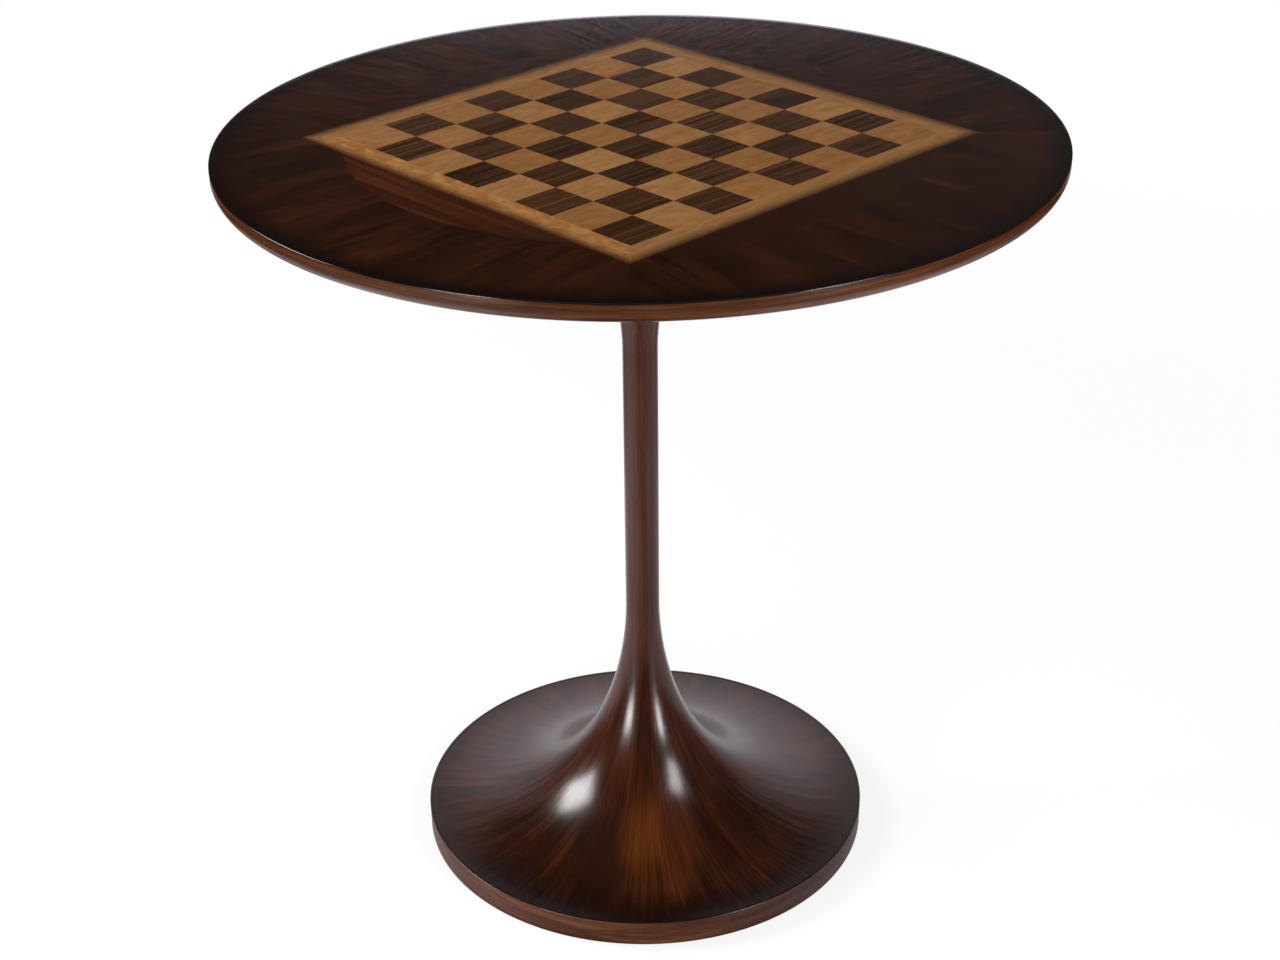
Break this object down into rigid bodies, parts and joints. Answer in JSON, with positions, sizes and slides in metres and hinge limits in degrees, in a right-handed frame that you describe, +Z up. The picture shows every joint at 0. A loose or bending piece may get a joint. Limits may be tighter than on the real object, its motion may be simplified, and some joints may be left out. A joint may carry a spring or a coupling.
{
  "type": "chess table",
  "caption": "Round pedestal games table with an inlaid chessboard in a veneered top, a slim turned column and a trumpet base on levelling glides.",
  "frame": {"origin": "on the floor under the centre of the column", "axes": "+Z up along the column; the board's edges run along X and Y, front is -Y, and the dark corner squares are at front left and back right"},
  "size_m": [0.762, 0.762, 0.746],
  "materials": {
    "surround_walnut": "satin lacquer over dark stained walnut veneer",
    "segment_walnut": "satin lacquer over red-brown walnut veneer",
    "square_walnut": "satin lacquer over straight-grained walnut veneer",
    "sycamore": "satin lacquer over honey-toned sycamore veneer",
    "lipping_walnut": "satin lacquer over solid walnut",
    "backing_walnut": "sealed veneer",
    "column_walnut": "satin lacquer over turned walnut",
    "trumpet_walnut": "satin lacquer over radial walnut leaves",
    "band_walnut": "satin lacquer over walnut banding",
    "core_board": "raw laminated core",
    "plywood": "sealed birch plywood",
    "grey_iron": "as cast, black painted",
    "zinc_steel": "zinc plated",
    "insert_brass": "turned",
    "nylon": "moulded"
  },
  "bodies": {
    "table": {"top_core": "core_board", "backing_veneer": "backing_walnut", "edge_lipping": "lipping_walnut", "dark_squares": "square_walnut", "light_squares": "sycamore", "upper_flare": "column_walnut", "column_stem": "column_walnut", "trumpet_core": "core_board", "base_band": "band_walnut", "base_weight": "grey_iron", "bottom_plate": "plywood", "glide_inserts": "insert_brass", "surround_front": "surround_walnut", "segment_front": "segment_walnut", "border_front": "sycamore", "surround_right": "surround_walnut", "segment_right": "segment_walnut", "border_right": "sycamore", "surround_back": "surround_walnut", "segment_back": "segment_walnut", "border_back": "sycamore", "surround_left": "surround_walnut", "segment_left": "segment_walnut", "border_left": "sycamore", "trumpet_gore_01": "trumpet_walnut", "trumpet_gore_02": "trumpet_walnut", "trumpet_gore_03": "trumpet_walnut", "trumpet_gore_04": "trumpet_walnut", "trumpet_gore_05": "trumpet_walnut", "trumpet_gore_06": "trumpet_walnut", "trumpet_gore_07": "trumpet_walnut", "trumpet_gore_08": "trumpet_walnut", "trumpet_gore_09": "trumpet_walnut", "trumpet_gore_10": "trumpet_walnut", "trumpet_gore_11": "trumpet_walnut", "trumpet_gore_12": "trumpet_walnut", "trumpet_gore_13": "trumpet_walnut", "trumpet_gore_14": "trumpet_walnut", "trumpet_gore_15": "trumpet_walnut", "trumpet_gore_16": "trumpet_walnut", "mounting_plate": "zinc_steel", "plate_screws": "zinc_steel", "locating_pins": "zinc_steel", "rod_coupling": "zinc_steel", "tie_rod": "zinc_steel", "rod_washer": "zinc_steel", "rod_nut": "zinc_steel", "weight_screws": "zinc_steel", "bottom_screws": "zinc_steel"},
    "leveller_1": {"glide_stud_1": "zinc_steel", "glide_foot_1": "nylon"},
    "leveller_2": {"glide_stud_2": "zinc_steel", "glide_foot_2": "nylon"},
    "leveller_3": {"glide_stud_3": "zinc_steel", "glide_foot_3": "nylon"},
    "leveller_4": {"glide_stud_4": "zinc_steel", "glide_foot_4": "nylon"}
  },
  "joints": [
    {"name": "leveller_1_travel", "type": "slide", "parent": "table", "child": "leveller_1", "axis": [0, 0, -1], "range_m": [0, 0.006]},
    {"name": "leveller_2_travel", "type": "slide", "parent": "table", "child": "leveller_2", "axis": [0, 0, -1], "range_m": [0, 0.006]},
    {"name": "leveller_3_travel", "type": "slide", "parent": "table", "child": "leveller_3", "axis": [0, 0, -1], "range_m": [0, 0.006]},
    {"name": "leveller_4_travel", "type": "slide", "parent": "table", "child": "leveller_4", "axis": [0, 0, -1], "range_m": [0, 0.006]}
  ]
}
